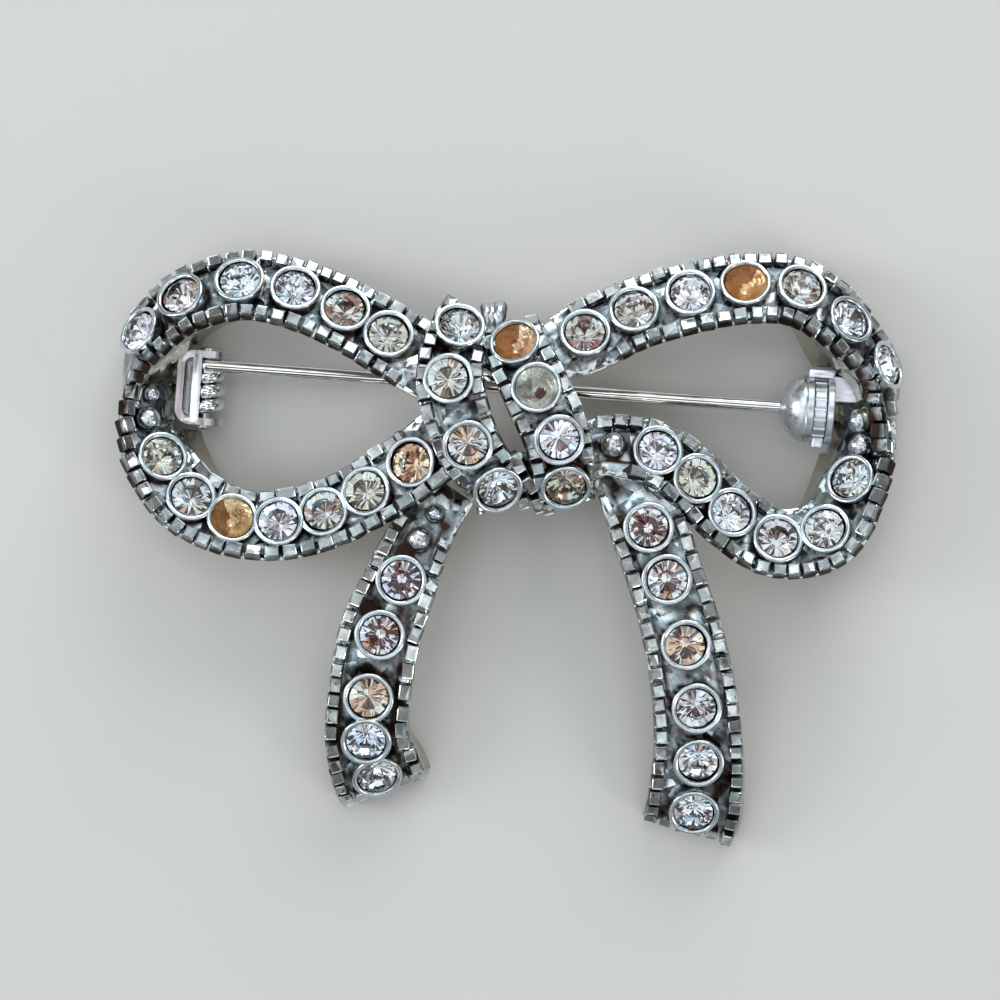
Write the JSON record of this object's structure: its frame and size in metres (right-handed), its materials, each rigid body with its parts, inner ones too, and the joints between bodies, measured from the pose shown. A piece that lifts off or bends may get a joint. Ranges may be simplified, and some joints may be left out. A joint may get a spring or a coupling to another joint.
{
  "type": "bow brooch",
  "caption": "Plated bow brooch: four ribbon strips in two loops, a knot and two tails, with round stones in raised cups, block milgrain edges, a hinged pin and a turning safety catch.",
  "frame": {"origin": "centre of the bounding box in X and Y, at the height of the loops' back", "axes": "+X along the bow to the catch's side, +Y up the bow from its tails to its loops, +Z out of the front"},
  "size_m": [0.0476, 0.036, 0.0089],
  "materials": {
    "plated_casting": "bright silver-coloured plate with darkened recesses and satin inner walls",
    "plated_findings": "satin plate with fine scratches",
    "pin_wire": "polished wire",
    "clear_stone": "clear foiled round stone"
  },
  "bodies": {
    "bow": {"bow_frame": "plated_casting", "hinge_bracket": "plated_findings", "hinge_rivet": "plated_findings", "catch_housing": "plated_findings", "stone_knot_left_1": "clear_stone", "stone_knot_left_2": "clear_stone", "stone_knot_left_3": "clear_stone", "stone_knot_left_4": "clear_stone", "stone_knot_right_3": "clear_stone", "stone_knot_right_4": "clear_stone", "stone_left_low_3": "clear_stone", "stone_left_low_4": "clear_stone", "stone_left_low_6": "clear_stone", "stone_left_low_7": "clear_stone", "stone_left_low_8": "clear_stone", "stone_left_low_9": "clear_stone", "stone_left_tail_3": "clear_stone", "stone_left_tail_4": "clear_stone", "stone_left_tail_5": "clear_stone", "stone_left_tail_6": "clear_stone", "stone_left_tail_7": "clear_stone", "stone_left_top_2": "clear_stone", "stone_left_top_3": "clear_stone", "stone_left_top_4": "clear_stone", "stone_left_top_5": "clear_stone", "stone_left_top_6": "clear_stone", "stone_left_top_7": "clear_stone", "stone_right_low_2": "clear_stone", "stone_right_low_3": "clear_stone", "stone_right_low_4": "clear_stone", "stone_right_low_5": "clear_stone", "stone_right_low_6": "clear_stone", "stone_right_low_7": "clear_stone", "stone_right_tail_1": "clear_stone", "stone_right_tail_2": "clear_stone", "stone_right_tail_3": "clear_stone", "stone_right_tail_4": "clear_stone", "stone_right_tail_5": "clear_stone", "stone_right_tail_6": "clear_stone", "stone_right_top_1": "clear_stone", "stone_right_top_2": "clear_stone", "stone_right_top_3": "clear_stone", "stone_right_top_5": "clear_stone", "stone_right_top_6": "clear_stone", "stone_right_top_7": "clear_stone"},
    "pin": {"pin_stem": "pin_wire"},
    "catch_disc": {"catch_rotor": "plated_findings"}
  },
  "joints": [
    {"name": "pin_hinge", "type": "hinge", "parent": "bow", "child": "pin", "pos_m": [-0.01846, 0.01094, 0.00155], "axis": [0.0713, 0.9975, 0], "range_deg": [0, 90]},
    {"name": "catch_turn", "type": "hinge", "parent": "bow", "child": "catch_disc", "pos_m": [0.01824, 0.00831, 0.00235], "axis": [0.9975, -0.0713, 0], "range_deg": [-90, 0]}
  ]
}
